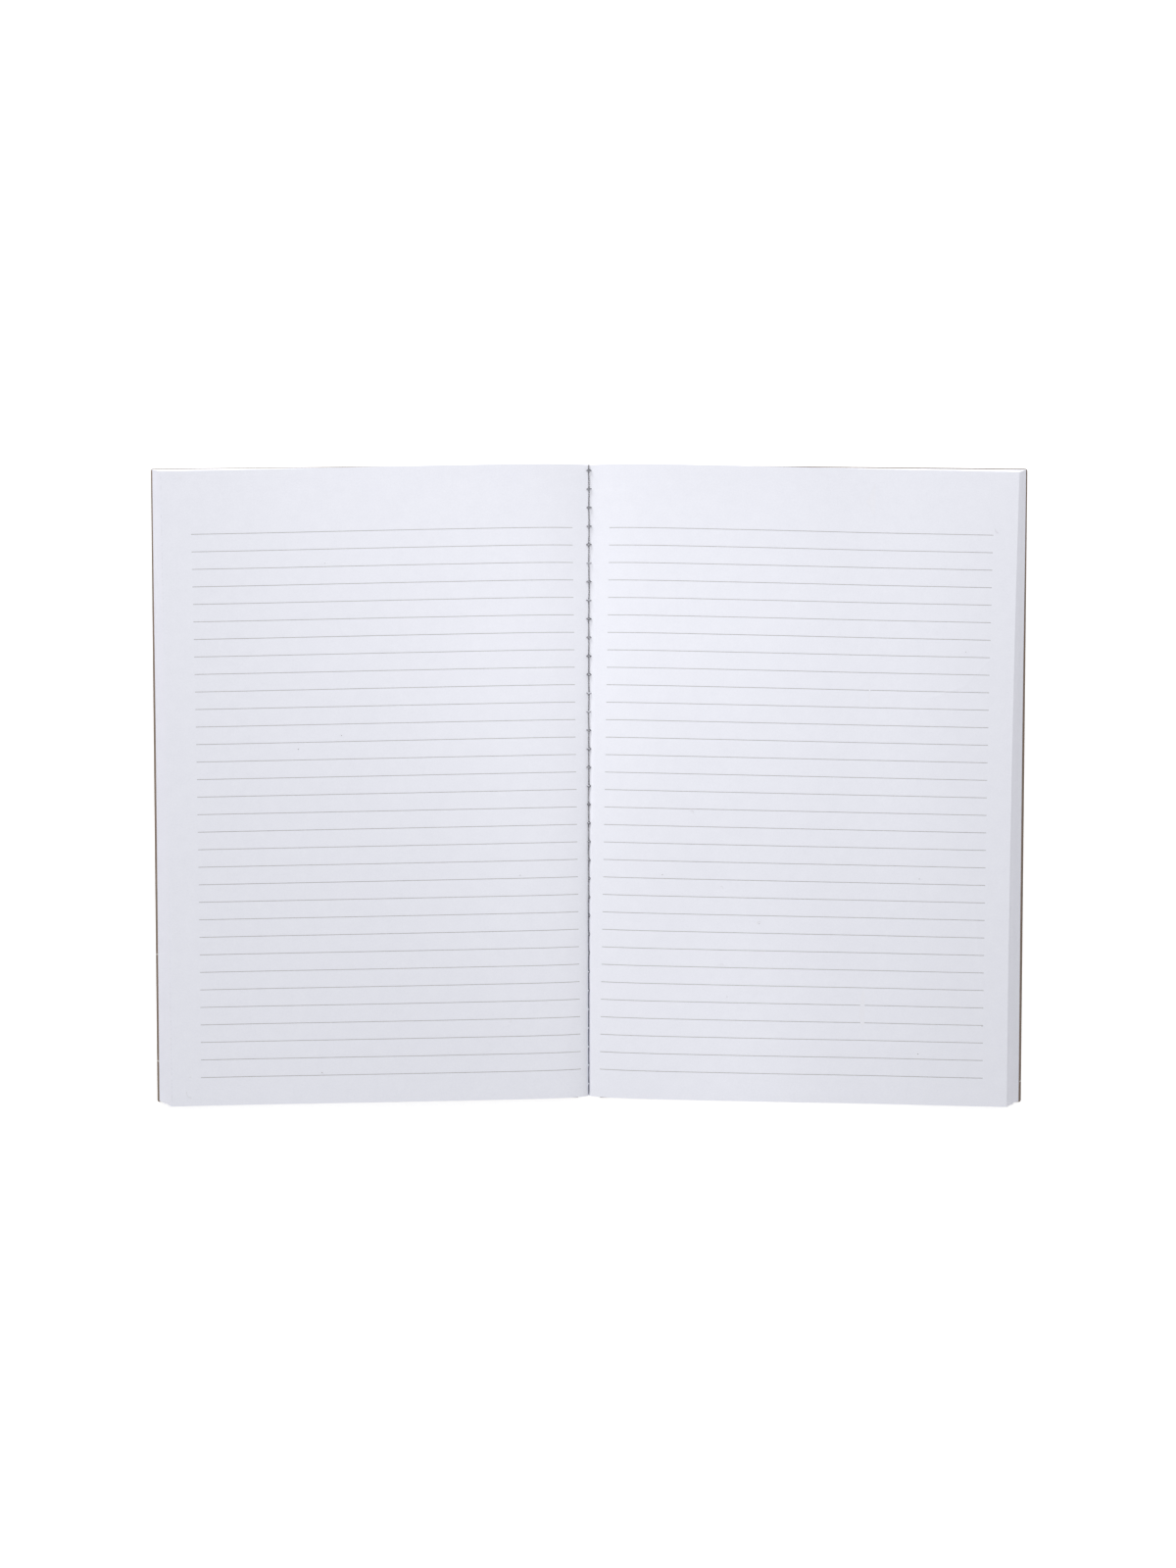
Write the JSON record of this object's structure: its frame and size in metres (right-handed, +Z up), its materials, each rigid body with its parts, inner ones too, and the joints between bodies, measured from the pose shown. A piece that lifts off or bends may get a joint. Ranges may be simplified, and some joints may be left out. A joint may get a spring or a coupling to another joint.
{
  "type": "open composition notebook",
  "caption": "Sewn ruled notebook lying open at its middle sheet, with fanned leaves, two boards, a cloth spine tape and the stitching in the fold.",
  "frame": {"origin": "middle of the notebook's outline, on the table under it", "axes": "+X across the open pages to the right-hand fore-edge, +Y along the fold to the head of the pages, +Z up from the table"},
  "size_m": [0.3536, 0.2586, 0.0081],
  "materials": {
    "paper": "uncoated ruled writing paper",
    "board": "uncoated grey-brown pulp board",
    "cloth": "dark book cloth",
    "thread": "grey twisted sewing thread"
  },
  "bodies": {
    "text_block": {"page_block": "paper", "spine_tape": "cloth", "needle_thread": "thread", "bobbin_thread": "thread"},
    "front_cover": {"front_cover": "board"},
    "back_cover": {"back_cover": "board"}
  },
  "joints": [
    {"name": "front_cover_hinge", "type": "hinge", "parent": "text_block", "child": "front_cover", "pos_m": [-0.00575, 0.00167, 0.0003], "axis": [0.0105, -0.9999, 0], "range_deg": [0, 90], "deforming": ["spine_tape"]},
    {"name": "back_cover_hinge", "type": "hinge", "parent": "text_block", "child": "back_cover", "pos_m": [0.00575, 0.00167, 0.0003], "axis": [0.0105, 0.9999, 0], "range_deg": [0, 90], "deforming": ["spine_tape"]}
  ]
}
